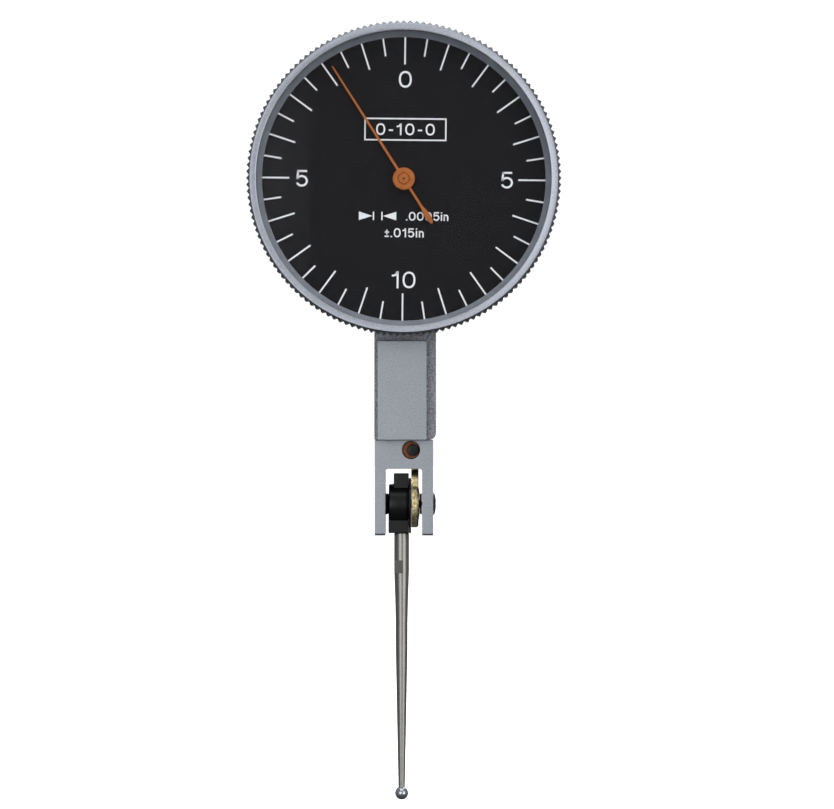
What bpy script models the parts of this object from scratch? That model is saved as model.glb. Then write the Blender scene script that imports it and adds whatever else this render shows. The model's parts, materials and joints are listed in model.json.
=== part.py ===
"""A lever-type dial test indicator, built from separate pieces that move on real pivots.

Lengths in this script are millimetres and become metres as they are placed. X is the
reader's right, Y runs away from the reader, and Z is up with the contact point hanging
down. The origin is the middle of the front dovetail face on the neck.
"""

import math

import bmesh
import bpy
from mathutils import Matrix

# ------------------------------------------------------------------ driving dimensions
DIAL_Z = 26.25          # dial axis above the middle of the dovetail
PIVOT_Y = 5.3           # every lever pivot lies in this plane
PIVOT_Z = -14.14        # contact pivot
CONTACT_LENGTH = 36.51  # contact pivot to ball centre, 1-7/16 in
BALL_RADIUS = 0.84
STYLUS_X = -0.31

NECK_LEFT, NECK_RIGHT = -3.72, 4.02
NECK_FRONT, NECK_BACK = 1.8, 8.8
DOVETAIL_DEPTH = 1.8
DOVETAIL_HALF_LENGTH = 6.03
DOVETAIL_FRONT_TOP = 6.36      # the front rail runs a little higher
CASE_BACK = 10.6
CASE_RADIUS = 14.5
FLANGE_RADIUS = 16.0
FLANGE_FRONT = -3.1

FORK_LEFT, FORK_RIGHT = -3.68, 3.67
FORK_FRONT, FORK_BACK = 2.4, 8.2
FORK_TOP, FORK_END = -6.08, -18.05
FORK_SLOT = -2.34, 2.27
FORK_SLOT_TOP = -9.67

BEZEL_FRONT, BEZEL_BACK = -7.3, -0.9
BEZEL_TEETH = 148
BEZEL_CREST, BEZEL_VALLEY = 19.39, 19.04
DIAL_FACE = -4.8
DIAL_PLATE_RADIUS = 17.6

CENTRE_LEAVES, CENTRE_RADIUS = 10, 0.5        # pinion on the pointer's arbor
CROWN_TEETH, CROWN_RADIUS = 60, 3.0           # crown wheel that drives it
CROWN_LEAVES, CROWN_PINION_RADIUS = 12, 0.75  # pinion on the crown wheel's arbor
SECTOR_TEETH, SECTOR_RADIUS = 396, 24.75      # teeth of the full circle
SECTOR_CUT = 12                               # teeth that the sector carries
SECTOR_Z = 0.75                               # sector pivot
SECTOR_TAIL = 4.54                            # sector pivot to the lever's tip
LEVER_ARM = 10.35                             # contact pivot to the lever's tip

# ------------------------------------------------------------------------------ scene
TURN = {"X": (90, 0, 90), "Y": (90, 0, 0), "Z": (0, 0, 0)}
LARGE, MIDDLE, SMALL = 64, 48, 12


def cleared_scene():
    """Empties the startup scene and returns the two collections that this part uses."""
    for obj in list(bpy.data.objects):
        bpy.data.objects.remove(obj, do_unlink=True)
    found = []
    for name in ("Dial test indicator", "Cutters"):
        collection = bpy.data.collections.new(name)
        bpy.context.scene.collection.children.link(collection)
        found.append(collection)
    return found


PIECES, CUTTERS = cleared_scene()


def metal(name, hex_colour, roughness, metallic=1.0):
    """A plain Principled material from an sRGB hex colour."""
    material = bpy.data.materials.new(name)
    material.use_nodes = True
    shader = material.node_tree.nodes["Principled BSDF"]
    linear = []
    for i in (0, 2, 4):
        c = int(hex_colour[i : i + 2], 16) / 255
        linear.append(c / 12.92 if c <= 0.04045 else ((c + 0.055) / 1.055) ** 2.4)
    shader.inputs["Base Color"].default_value = (*linear, 1)
    shader.inputs["Metallic"].default_value = metallic
    shader.inputs["Roughness"].default_value = roughness
    material.diffuse_color = (*linear, 1)
    return material


SATIN = "a9adb2", 0.38
BLUED = "1b1a1c", 0.42
BRASS = "b98f4a", 0.4
JEWEL = "8f1f2c", 0.1, 0.0


# ---------------------------------------------------------------------- shape helpers
def placed(obj, location, axis, look=None):
    """Puts an object on its axis at a point in mm, as a piece, or as a cutter with no look."""
    obj.location = [v / 1000 for v in location]
    obj.rotation_euler = [math.radians(v) for v in TURN[axis]]
    if look:
        PIECES.objects.link(obj)
        obj.data.materials.append(metal(obj.name + "_finish", *look))
    else:
        CUTTERS.objects.link(obj)
        obj.hide_render = True
        obj.display_type = "WIRE"
    return obj


def turned(name, profile, steps, location, axis, look=None):
    """A turned solid. The profile is (radius, place along the axis), ending on the axis or closed."""
    along = -1 if axis == "Y" else 1
    points = [(r / 1000, 0, h * along / 1000) for r, h in profile]
    loop = zip(points, points[1:] + points[:1])
    if sum(a[0] * b[2] - b[0] * a[2] for a, b in loop) > 0:
        points.reverse()
    solid = points[0][0] == 0 and points[-1][0] == 0
    edges = [(i, i + 1) for i in range(len(points) - 1)]
    if not solid:
        edges.append((len(points) - 1, 0))
    mesh = bpy.data.meshes.new(name)
    mesh.from_pydata(points, edges, [])
    obj = bpy.data.objects.new(name, mesh)
    screw = obj.modifiers.new("Turn", "SCREW")
    screw.axis = "Z"
    screw.steps = screw.render_steps = steps
    screw.use_merge_vertices = True
    screw.merge_threshold = 1e-6
    screw.use_smooth_shade = False
    return placed(obj, location, axis, look)


def prism(name, loops, low, high, location, axis, look=None):
    """A flat outline, with any holes after it, drawn across the axis and extruded along it."""
    curve = bpy.data.curves.new(name, "CURVE")
    curve.dimensions = "2D"
    curve.fill_mode = "BOTH"
    curve.extrude = (high - low) / 2000
    for loop in loops:
        spline = curve.splines.new("POLY")
        spline.points.add(len(loop) - 1)
        for point, (u, v) in zip(spline.points, loop):
            point.co = (u / 1000, v / 1000, 0, 1)
        spline.use_cyclic_u = True
    drawn = bpy.data.objects.new(name + "_outline", curve)
    PIECES.objects.link(drawn)
    graph = bpy.context.evaluated_depsgraph_get()
    mesh = bpy.data.meshes.new_from_object(drawn.evaluated_get(graph))
    bpy.data.objects.remove(drawn, do_unlink=True)
    middle = (low + high) / 2000 * (-1 if axis == "Y" else 1)
    mesh.transform(Matrix.Translation((0, 0, middle)))
    work = bmesh.new()
    work.from_mesh(mesh)
    bmesh.ops.remove_doubles(work, verts=work.verts, dist=1e-7)
    bmesh.ops.recalc_face_normals(work, faces=work.faces)
    work.to_mesh(mesh)
    work.free()
    mesh.name = name
    mesh.materials.clear()
    return placed(bpy.data.objects.new(name, mesh), location, axis, look)


def box(name, low, high, look=None):
    """A box between two corners in mm."""
    work = bmesh.new()
    size = Matrix.Diagonal([(b - a) / 1000 for a, b in zip(low, high)] + [1])
    bmesh.ops.create_cube(work, size=1, matrix=size)
    mesh = bpy.data.meshes.new(name)
    work.to_mesh(mesh)
    work.free()
    centre = [(a + b) / 2 for a, b in zip(low, high)]
    return placed(bpy.data.objects.new(name, mesh), centre, "Z", look)


def rod(name, radius, low, high, location, axis, steps=SMALL):
    """A round cutter along an axis."""
    profile = [(0, low), (radius, low), (radius, high), (0, high)]
    return turned(name, profile, steps, location, axis)


def combine(target, other, operation="DIFFERENCE"):
    boolean = target.modifiers.new(other.name, "BOOLEAN")
    boolean.operation = operation
    boolean.object = other
    boolean.solver = "EXACT"
    return target


def circle(radius, count, centre=(0, 0), phase=0.0):
    step = 2 * math.pi / count
    return [
        (centre[0] + radius * math.cos(phase + i * step),
         centre[1] + radius * math.sin(phase + i * step))
        for i in range(count)
    ]


def arc(radius, start, end, count, centre=(0, 0)):
    """Points on an arc, angles in degrees, both ends included."""
    angles = [math.radians(start + (end - start) * i / (count - 1)) for i in range(count)]
    return [(centre[0] + radius * math.cos(a), centre[1] + radius * math.sin(a)) for a in angles]


def tooth(centre_angle, pitch_angle, tip, root):
    """The four corners of one tapered tooth, across its angle."""
    return [
        (r * math.cos(centre_angle + k * pitch_angle), r * math.sin(centre_angle + k * pitch_angle))
        for r, k in ((root, -0.27), (tip, -0.11), (tip, 0.11), (root, 0.27))
    ]


def gear(teeth, tip, root, phase=0.0):
    pitch = 2 * math.pi / teeth
    return [p for i in range(teeth) for p in tooth(phase + i * pitch, pitch, tip, root)]


def slotted_screw(name, profile, location, axis, slot, look=BLUED):
    """A turned screw with a driver slot: slot is (where the face is, depth with its sign, length, angle)."""
    screw = turned(name, profile, SMALL, location, axis, look)
    face, depth, length, angle = slot
    half_l, half_w = length / 2, 0.14
    outline = [(-half_l, -half_w), (half_l, -half_w), (half_l, half_w), (-half_l, half_w)]
    a = math.radians(angle)
    outline = [(u * math.cos(a) - v * math.sin(a), u * math.sin(a) + v * math.cos(a))
               for u, v in outline]
    low, high = sorted((face + depth, face - depth))
    return combine(screw, prism(name + "_slot", [outline], low, high, location, axis))


def ring(name, outer, inner, low, high, steps, location, axis, look=None):
    profile = [(outer, high), (outer, low), (inner, low), (inner, high)]
    return turned(name, profile, steps, location, axis, look)


DIAL_AXIS = (0, 0, DIAL_Z)
CROWN_AXIS = (0, PIVOT_Y, DIAL_Z)
SECTOR_AXIS = (0, PIVOT_Y, SECTOR_Z)
LEVER_AXIS = (0, PIVOT_Y, PIVOT_Z)


# --------------------------------------------------------------------------- the case
def dovetail(name, face_y, root_y, inside_y, top):
    """A male dovetail along the neck, wide at its face."""
    outline = [(-3.30, face_y), (2.84, face_y), (2.17, root_y), (2.17, inside_y),
               (-2.63, inside_y), (-2.63, root_y)]
    return prism(name, [outline], -DOVETAIL_HALF_LENGTH, top, (0, 0, 0), "Z")


COVER_SCREWS = [(12.5, math.radians(a)) for a in (90, 210, 330)]
FRAME_SCREWS = [(2.4, 2.95), (-2.4, -3.05)]
FORK_SCREW_Z = -3.2


def cover_screw_places():
    return [(r * math.cos(a), 0, DIAL_Z + r * math.sin(a)) for r, a in COVER_SCREWS]


def frame_screw_places():
    return [(x, 0, DIAL_Z + z) for x, z in FRAME_SCREWS]


def case_body():
    body = turned(
        "case_body",
        [(0, -1.3), (6.5, -1.3), (6.5, FLANGE_FRONT), (FLANGE_RADIUS, FLANGE_FRONT),
         (FLANGE_RADIUS, -2.05), (15.6, -2.05), (15.6, -1.53), (FLANGE_RADIUS, -1.53),
         (FLANGE_RADIUS, -0.5), (CASE_RADIUS, -0.5), (CASE_RADIUS, CASE_BACK),
         (13.45, CASE_BACK), (13.45, 9.65), (11.6, 9.65), (11.6, 0.6), (0, 0.6)],
        MIDDLE, DIAL_AXIS, "Y", SATIN,
    )
    left, right, end = NECK_LEFT, NECK_RIGHT, -DOVETAIL_HALF_LENGTH
    neck = [(left, 14), *arc(0.15, 180, 270, 3, (left + 0.15, end + 0.15)),
            *arc(0.9, 270, 360, 5, (right - 0.9, end + 0.9)), (right, 14)]
    combine(body, prism("neck", [neck], NECK_FRONT, NECK_BACK, (0, 0, 0), "Y"), "UNION")
    front = dovetail("dovetail_front", 0, DOVETAIL_DEPTH, 2.2, DOVETAIL_FRONT_TOP)
    back = dovetail("dovetail_back", CASE_BACK, NECK_BACK, 8.4, DOVETAIL_HALF_LENGTH)
    combine(body, front, "UNION")
    combine(body, back, "UNION")
    end_rail = [(-2.4, 40.2), (2.4, 40.2), (2.4, 41.45), (3.07, 43.25), (-3.07, 43.25),
                (-2.4, 41.45)]
    combine(body, prism("dovetail_end", [end_rail], 0.3, 10.1, (0, 0, 0), "Y"), "UNION")
    combine(body, box("channel_low", (-2.75, 2.9, -7), (2.75, 7.7, 2.8)))
    combine(body, box("channel_high", (-2.3, 2.9, 2.5), (2.3, 7.7, 16)))
    combine(body, rod("jewel_seat", 0.8, -1.5, -0.5, DIAL_AXIS, "Y"))
    combine(body, rod("arbor_hole", 0.5, -0.7, 0.8, DIAL_AXIS, "Y"))
    for i, place in enumerate(cover_screw_places()):
        combine(body, rod(f"cover_tap_{i}", 0.45, 7.6, 9.8, place, "Y", 12))
    for i, place in enumerate([*frame_screw_places(), (0.2, 0, 32.3)]):
        combine(body, rod(f"frame_tap_{i}", 0.45, -0.9, 0.8, place, "Y", 12))
    side = (0, PIVOT_Y, FORK_SCREW_Z)
    combine(body, rod("fork_bore_left", 0.85, -3.9, -3.27, side, "X"))
    combine(body, rod("fork_bore_right", 0.85, 3.5, 4.1, side, "X"))
    combine(body, rod("fork_hole_left", 0.5, -3.4, -2.6, side, "X", 12))
    combine(body, rod("fork_hole_right", 0.5, 2.6, 3.6, side, "X", 12))


def back_cover():
    cover = turned(
        "back_cover", [(0, 9.7), (13.4, 9.7), (13.4, 10.45), (13.25, 10.6), (0, 10.6)],
        MIDDLE, DIAL_AXIS, "Y", SATIN,
    )
    for i, place in enumerate(cover_screw_places()):
        sink = [(0, 9.5), (0.5, 9.5), (0.5, 10.12), (0.88, 10.12), (0.88, 10.8), (0, 10.8)]
        combine(cover, turned(f"cover_sink_{i}", sink, SMALL, place, "Y"))
        profile = [(0, 8.0), (0.4, 8.0), (0.4, 10.16), (0.82, 10.16), (0.82, 10.56), (0, 10.56)]
        slotted_screw(f"cover_screw_{i + 1}", profile, place, "Y", (10.56, -0.2, 2.0, 35 * i))


def fork():
    corner = 0.6
    outline = [(FORK_BACK, FORK_TOP), (FORK_FRONT, FORK_TOP),
               *arc(corner, 180, 270, 4, (FORK_FRONT + corner, FORK_END + corner)),
               *arc(corner, 270, 360, 4, (FORK_BACK - corner, FORK_END + corner))]
    body = prism("fork", [outline], FORK_LEFT, FORK_RIGHT, (0, 0, 0), "X", SATIN)
    (left, right), top = FORK_SLOT, FORK_SLOT_TOP
    slot = [(right, -19), *arc(0.35, 0, 90, 4, (right - 0.35, top - 0.35)),
            *arc(0.35, 90, 180, 4, (left + 0.35, top - 0.35)), (left, -19)]
    combine(body, prism("fork_slot", [slot], 2, 9, (0, 0, 0), "Y"))
    for side, low, high in (("left", -2.65, -1.98), ("right", 1.98, 2.65)):
        combine(body, box(f"cheek_{side}", (low, 3.0, -6.6), (high, 7.6, 2.3)), "UNION")
    combine(body, box("lever_slot", (0.66, 4.2, -10), (2.06, 6.4, -6.0)))
    combine(body, rod("access_hole", 1.13, 2.2, 3.9, (0.877, 0, -7.31), "Y", 24))
    combine(body, rod("pivot_bore", 0.75, -4, 4, LEVER_AXIS, "X"))
    combine(body, rod("sector_jewel_bore", 0.6, -3, 3, SECTOR_AXIS, "X"))
    combine(body, rod("fork_tap", 0.5, -3, 3, (0, PIVOT_Y, FORK_SCREW_Z), "X", 12))


def fork_hardware():
    bush = turned(
        "eccentric_bush", [(0, 2.75), (1.09, 2.75), (1.09, 3.85), (0, 3.85)],
        24, (0.877, 0, -7.31), "Y", ("8a5a3c", 0.4),
    )
    combine(bush, rod("bush_bore", 0.77, 2.6, 3.6, (1.137, 0, -7.31), "Y", 20))
    slotted_screw("eccentric_screw", [(0, 2.9), (0.74, 2.9), (0.74, 3.55), (0, 3.55)],
                  (1.137, 0, -7.31), "Y", (2.9, 0.2, 2.0, 25))
    side = (0, PIVOT_Y, FORK_SCREW_Z)
    left = [(0, -3.7), (0.8, -3.7), (0.8, -3.3), (0.45, -3.3), (0.45, -2.05), (0, -2.05)]
    right = [(0, 3.93), (0.8, 3.93), (0.8, 3.53), (0.45, 3.53), (0.45, 2.05), (0, 2.05)]
    slotted_screw("fork_screw_left", left, side, "X", (-3.7, 0.18, 2.2, 60))
    slotted_screw("fork_screw_right", right, side, "X", (3.93, -0.18, 2.2, 20))
    left = [(0, -3.66), (0.7, -3.66), (0.7, -2.4), (0.25, -2.4), (0.25, -1.62), (0, -1.62)]
    right = [(0, 4.02), (0.8, 3.98), (1.2, 3.88), (1.4, 3.72), (1.4, 3.69), (0.7, 3.69),
             (0.7, 2.33), (0.25, 2.33), (0.25, 1.62), (0, 1.62)]
    slotted_screw("pivot_screw_left", left, LEVER_AXIS, "X", (-3.66, 0.2, 2.0, 15))
    slotted_screw("pivot_screw_right", right, LEVER_AXIS, "X", (4.02, -0.22, 3.2, 75))
    # the washers are cones that widen towards the fork
    for side, inner, outer in (("left", -1.93, -2.31), ("right", 1.99, 2.24)):
        cone = [(1.38, outer), (1.1, inner), (0.6, inner), (0.6, outer)]
        turned(f"thrust_washer_{side}", cone, 20, LEVER_AXIS, "X", BLUED)


# ----------------------------------------------------------- bezel, crystal and dial
def bezel():
    crests = circle(BEZEL_CREST, BEZEL_TEETH)
    valleys = circle(BEZEL_VALLEY, BEZEL_TEETH, phase=math.pi / BEZEL_TEETH)
    knurl = [point for pair in zip(crests, valleys) for point in pair]
    body = prism("bezel_ring", [knurl], -7.0, BEZEL_BACK, DIAL_AXIS, "Y", SATIN)
    rim = [(0, BEZEL_FRONT), (18.95, BEZEL_FRONT), (18.95, -6.8), (0, -6.8)]
    combine(body, turned("bezel_rim", rim, LARGE, DIAL_AXIS, "Y"), "UNION")
    bore = [(0, -8), (18.17, -8), (18.17, -6.1), (17.4, -4.85), (17.7, -4.85), (17.7, 0),
            (0, 0)]
    combine(body, turned("bezel_bore", bore, LARGE, DIAL_AXIS, "Y"))
    crystal = [(0, -7.2), (17.95, -7.2), (18.1, -7.05), (18.1, -6.15), (0, -6.15)]
    turned("crystal", crystal, LARGE, DIAL_AXIS, "Y", ("e8f0f2", 0.03, 0.0))
    ring("dial_plate", DIAL_PLATE_RADIUS, 1.0, DIAL_FACE, -4.3, MIDDLE, DIAL_AXIS, "Y",
         ("222123", 0.6, 0.0))
    ring("dial_retaining_ring", 17.64, 16.6, -4.26, -3.6, MIDDLE, DIAL_AXIS, "Y", SATIN)
    ring("bezel_guide_ring", 17.64, 16.15, -1.5, -0.92, MIDDLE, DIAL_AXIS, "Y", SATIN)
    snap = [*arc(16.6, 100, 440, 44), *arc(15.68, 440, 100, 44)]
    prism("bezel_snap_ring", [snap], -2.0, -1.58, DIAL_AXIS, "Y", ("8f9296", 0.3))


# ------------------------------------------------------------------ pointer and train
def pointer():
    turn = math.radians(90 + 32.45)
    tip, tail = 16.5, 6.55
    side = [(-tail, 0.10), (-5.6, 0.28), (-4.5, 0.41), (-3.8, 0.2), (-3.5, 0.15), (0, 0.17),
            (tip - 0.3, 0.11), (tip, 0.03)]
    outline = side + [(u, -v) for u, v in reversed(side)]
    outline = [(u * math.cos(turn) - v * math.sin(turn), u * math.sin(turn) + v * math.cos(turn))
               for u, v in outline]
    hub = [(0, -5.72), (0.62, -5.72), (0.62, -5.6), (1.25, -5.6), (1.375, -5.5), (1.375, -5.0),
           (0.7, -4.92), (0, -4.92)]
    body = turned("pointer", hub, 24, DIAL_AXIS, "Y", ("c8702e", 0.5, 0.0))
    combine(body, prism("pointer_hand", [outline], -5.42, -5.24, DIAL_AXIS, "Y"), "UNION")
    combine(body, rod("pointer_bore", 0.25, -6, -4, DIAL_AXIS, "Y", 12))
    arbor = turned(
        "centre_arbor",
        [(0, -5.2), (0.2, -5.2), (0.2, -0.5), (0.35, -0.45), (0.35, 3.2), (0.15, 3.25),
         (0.15, 4.0), (0, 4.0)],
        12, DIAL_AXIS, "Y", SATIN,
    )
    # a space of this pinion faces the crown wheel, and a crown tooth stands in it
    leaves = gear(CENTRE_LEAVES, CENTRE_RADIUS + 0.1, CENTRE_RADIUS - 0.13,
                  math.pi / CENTRE_LEAVES)
    combine(arbor, prism("centre_leaves", [leaves], 1.85, 2.75, DIAL_AXIS, "Y"), "UNION")
    ring("hairspring_collet", 0.8, 0.25, -2.75, -2.0, SMALL, DIAL_AXIS, "Y", BRASS)


def hairspring():
    turns, inner, outer, half, count = 4, 0.92, 5.0, 0.06, 64
    out, back = [], []
    for i in range(count + 1):
        a = 2 * math.pi * turns * i / count
        r = inner + (outer - inner) * i / count
        out.append(((r + half) * math.cos(a), (r + half) * math.sin(a)))
        back.append(((r - half) * math.cos(a), (r - half) * math.sin(a)))
    prism("hairspring", [out + back[::-1]], -2.5, -2.2, DIAL_AXIS, "Y", ("4a5568", 0.3))
    stud = [(0, -2.7), (0.3, -2.7), (0.3, -1.34), (0, -1.34)]
    turned("hairspring_stud", stud, 12, (5.42, 0, DIAL_Z), "Y", BRASS)


def crown_wheel():
    """Sixty tapered teeth stand on the rim of the wheel, facing the centre pinion."""
    wheel = turned(
        "crown_wheel",
        [(0, -1.6), (0.8, -1.6), (0.8, -1.1), (3.3, -1.1), (3.3, -0.64), (2.5, -0.64),
         (2.5, -0.8), (0, -0.8)],
        CROWN_TEETH, CROWN_AXIS, "X", BRASS,
    )
    pitch = 2 * math.pi / CROWN_TEETH
    work = bmesh.new()
    for i in range(CROWN_TEETH):
        turn = Matrix.Rotation(i * pitch, 4, "Z")
        shift = Matrix.Translation((CROWN_RADIUS / 1000, 0, -0.56 / 1000))
        size = Matrix.Diagonal((0.56 / 1000, 0.15 / 1000, 0.32 / 1000, 1))
        made = bmesh.ops.create_cube(work, size=1, matrix=turn @ shift @ size)
        # narrow the two long edges of the tooth's crest
        crest = [v for v in made["verts"] if v.co.z > -0.5 / 1000]
        middle = turn @ shift
        bmesh.ops.scale(work, vec=(1, 0.42, 1), verts=crest, space=middle.inverted())
    mesh = bpy.data.meshes.new("crown_teeth")
    work.to_mesh(mesh)
    work.free()
    teeth = placed(bpy.data.objects.new("crown_teeth", mesh), CROWN_AXIS, "X")
    combine(wheel, teeth, "UNION")
    combine(wheel, rod("crown_bore", 0.35, -2, 0, CROWN_AXIS, "X", 12))
    arbor = turned(
        "crown_arbor",
        [(0, -3.6), (0.15, -3.6), (0.15, -3.0), (0.3, -3.0), (0.3, 3.0), (0.15, 3.0),
         (0.15, 3.6), (0, 3.6)],
        12, CROWN_AXIS, "X", SATIN,
    )
    # one leaf points down at a space of the sector
    leaves = gear(CROWN_LEAVES, CROWN_PINION_RADIUS + 0.12, CROWN_PINION_RADIUS - 0.16,
                  -math.pi / 2)
    combine(arbor, prism("crown_leaves", [leaves], 0.8, 2.0, CROWN_AXIS, "X"), "UNION")


def sector():
    """A long lever: teeth at the top for the crown pinion, a slot at the foot for the lever's tip."""
    pitch = 2 * math.pi / SECTOR_TEETH
    teeth = []
    for i in range(SECTOR_CUT):
        # the half pitch leaves a space straight above the pivot for the pinion's leaf
        centre = math.pi / 2 + (i - SECTOR_CUT / 2 + 0.5) * pitch
        teeth += tooth(centre, pitch, SECTOR_RADIUS + 0.10, SECTOR_RADIUS - 0.16)
    tail = SECTOR_TAIL
    right = [(0.8, -tail - 0.46), (0.8, -tail + 0.3), (0.62, -2.4), (0.9, -0.9), (1.0, 0),
             (0.95, 1.0), (0.6, 4.0), (0.75, 18.0), (1.35, 22.0), (2.45, 23.9)]
    left = [(-u, v) for u, v in reversed(right)]
    slot = [(-0.35, -tail - 0.46), (-0.35, -tail + 0.5), (0.35, -tail + 0.5),
            (0.35, -tail - 0.46)]
    outline = right + teeth + left + slot
    prism("sector_lever", [outline, circle(0.35, 12)], 1.0, 1.8, SECTOR_AXIS, "X", BRASS)
    turned(
        "sector_arbor",
        [(0, -2.5), (0.15, -2.5), (0.15, -1.9), (0.3, -1.9), (0.3, 1.9), (0.15, 1.9),
         (0.15, 2.5), (0, 2.5)],
        12, SECTOR_AXIS, "X", SATIN,
    )


def movement_frame():
    low, high = DIAL_Z - 3.75, DIAL_Z + 4.05
    frame = box("movement_frame", (-3.7, 0.65, low), (3.7, 1.5, high), BRASS)
    for side, a, b in (("left", -3.7, -3.1), ("right", 3.1, 3.7)):
        cheek = box(f"frame_cheek_{side}", (a, 1.0, DIAL_Z - 1.8), (b, 6.8, DIAL_Z + 1.8))
        combine(frame, cheek, "UNION")
    combine(frame, rod("frame_bore", 0.6, -5, 5, CROWN_AXIS, "X"))
    combine(frame, rod("frame_hole", 0.8, 0, 2, DIAL_AXIS, "Y"))
    for i, place in enumerate(frame_screw_places()):
        combine(frame, rod(f"frame_pass_{i}", 0.5, 0, 2, place, "Y", 12))
        profile = [(0, -0.6), (0.4, -0.6), (0.4, 1.54), (0.75, 1.54), (0.75, 1.95), (0, 1.95)]
        slotted_screw(f"frame_screw_{i + 1}", profile, place, "Y", (1.95, -0.18, 2.0, 30 + 50 * i))
    bar = [*arc(0.62, 130, 400, 14), (0.62, 5.4), (-0.28, 5.4)]
    bridge = prism("centre_bridge", [bar], 3.3, 3.8, DIAL_AXIS, "Y", BRASS)
    foot = box("bridge_foot", (-0.75, 0.65, DIAL_Z + 5.1), (1.15, 3.8, DIAL_Z + 7.1))
    combine(bridge, foot, "UNION")
    combine(bridge, rod("bridge_bore", 0.42, 3, 4, DIAL_AXIS, "Y"))
    place = (0.2, 0, 32.3)
    combine(bridge, rod("bridge_pass", 0.5, 0, 5, place, "Y", 12))
    profile = [(0, -0.6), (0.4, -0.6), (0.4, 3.84), (0.8, 3.84), (0.8, 4.3), (0, 4.3)]
    slotted_screw("bridge_screw", profile, place, "Y", (4.3, -0.18, 2.0, 70))


def jewels():
    ring("centre_jewel_upper", 0.75, 0.25, -1.25, -0.55, SMALL, DIAL_AXIS, "Y", JEWEL)
    ring("centre_jewel_lower", 0.38, 0.2, 3.32, 3.78, SMALL, DIAL_AXIS, "Y", JEWEL)
    for side, a, b in (("left", -3.65, -3.15), ("right", 3.15, 3.65)):
        ring(f"crown_jewel_{side}", 0.55, 0.2, a, b, SMALL, CROWN_AXIS, "X", JEWEL)
    for side, a, b in (("left", -2.6, -2.05), ("right", 2.05, 2.6)):
        ring(f"sector_jewel_{side}", 0.55, 0.2, a, b, SMALL, SECTOR_AXIS, "X", JEWEL)


# ------------------------------------------------------- lever, carrier and contact
def contact_lever():
    """The brass lever: a disc on the pivot and an arm whose round tip works in the sector's slot."""
    tip = arc(0.3, -40, 220, 12, (0, LEVER_ARM))
    disc = arc(2.98, 130, 410, 28)
    outline = [*disc, (1.9, 3.6), (0.62, 4.3), (0.42, 8.6), (0.2, 9.6), *tip, (-0.2, 9.6),
               (-0.42, 8.6), (-0.62, 4.3), (-1.9, 3.6)]
    lever = prism("contact_lever", [outline], 0.91, 1.82, LEVER_AXIS, "X", BRASS)
    boss = [(0, 1.6), (2.2, 1.6), (2.2, 1.82), (1.3, 1.94), (0, 1.94)]
    combine(lever, turned("lever_boss", boss, 20, LEVER_AXIS, "X"), "UNION")
    combine(lever, rod("lever_bore", 0.6, 0, 3, LEVER_AXIS, "X"))
    turned(
        "pivot_axle",
        [(0, 1.5), (0.3, 1.5), (0.3, 2.12), (0.55, 2.12), (0.55, -2.12), (0.3, -2.12),
         (0.3, -1.5), (0, -1.5)],
        SMALL, LEVER_AXIS, "X", SATIN,
    )


def contact_carrier():
    core = [*arc(2.55, 145, 395, 20), (1.5, 3.55), (1.2, 3.85), (-1.2, 3.85), (-1.5, 3.55)]
    body = prism("contact_carrier", [core], -1.30, 0.58, LEVER_AXIS, "X", BLUED)
    flange = [(0, -1.88), (2.55, -1.88), (2.55, -1.0), (0, -1.0)]
    combine(body, turned("carrier_flange", flange, 32, LEVER_AXIS, "X"), "UNION")
    block = box("carrier_block", (-1.96, PIVOT_Y - 1.5, PIVOT_Z - 3.65),
                (0.58, PIVOT_Y + 1.5, PIVOT_Z - 1.9))
    combine(body, block, "UNION")
    combine(body, rod("carrier_bore", 0.6, -3, 2, LEVER_AXIS, "X"))
    hole = (STYLUS_X, PIVOT_Y, PIVOT_Z)
    combine(body, rod("stylus_hole", 0.65, -5, -1.1, hole, "Z"))
    washer = ring("friction_washer", 3.26, 0.6, 0.60, 0.89, 32, LEVER_AXIS, "X", BLUED)
    tongue = box("washer_tongue", (0.60, PIVOT_Y - 1.5, PIVOT_Z - 3.65),
                 (0.89, PIVOT_Y + 1.5, PIVOT_Z - 2.0))
    combine(washer, tongue, "UNION")


def stylus():
    """The tapered contact point with wrench flats, and its ball."""
    ball_z = -CONTACT_LENGTH
    sides = [(0.6, -1.2), (0.6, -3.69), (0.935, -3.69), (0.935, -8.4), (0.82, -12.16),
             (0.76, -15.0), (0.755, -18.4), (0.66, -23.5), (0.535, -29.8),
             (0.42, ball_z + 1.1), (0.42, ball_z + 0.76)]
    socket = [(0.3, ball_z + 0.82), (0.15, ball_z + 0.86), (0, ball_z + 0.87)]
    place = (STYLUS_X, PIVOT_Y, PIVOT_Z)
    point = turned("stylus", [(0, -1.2), *sides, *socket], 16, place, "Z", ("b4b6b8", 0.25))
    for side in (1, -1):
        a = math.radians(62)
        c, s = math.cos(a) * side, math.sin(a) * side
        flat = [(c * u - s * v, s * u + c * v) for u, v in
                ((0.72, -1.2), (1.4, -1.2), (1.4, 1.2), (0.72, 1.2))]
        combine(point, prism(f"wrench_flat_{side + 2}", [flat], -8.72, -7.1, place, "Z"))
    ball = [(0, BALL_RADIUS), *arc(BALL_RADIUS, 70, -70, 8), (0, -BALL_RADIUS)]
    ball = [(r, h + ball_z) for r, h in ball]
    turned("stylus_ball", ball, 16, place, "Z", ("c4c6c8", 0.12))


case_body()
back_cover()
fork()
fork_hardware()
bezel()
pointer()
hairspring()
crown_wheel()
sector()
movement_frame()
jewels()
contact_lever()
contact_carrier()
stylus()
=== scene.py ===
"""The looks of a lever-type dial test indicator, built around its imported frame.

Lengths are written in millimetres and turned to metres where a shape is made. X is the
reader's right, Y runs away from the reader, and Z is up with the contact point hanging down.
"""

import json
import math

import bmesh
import bpy
from mathutils import Matrix, Vector


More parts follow.
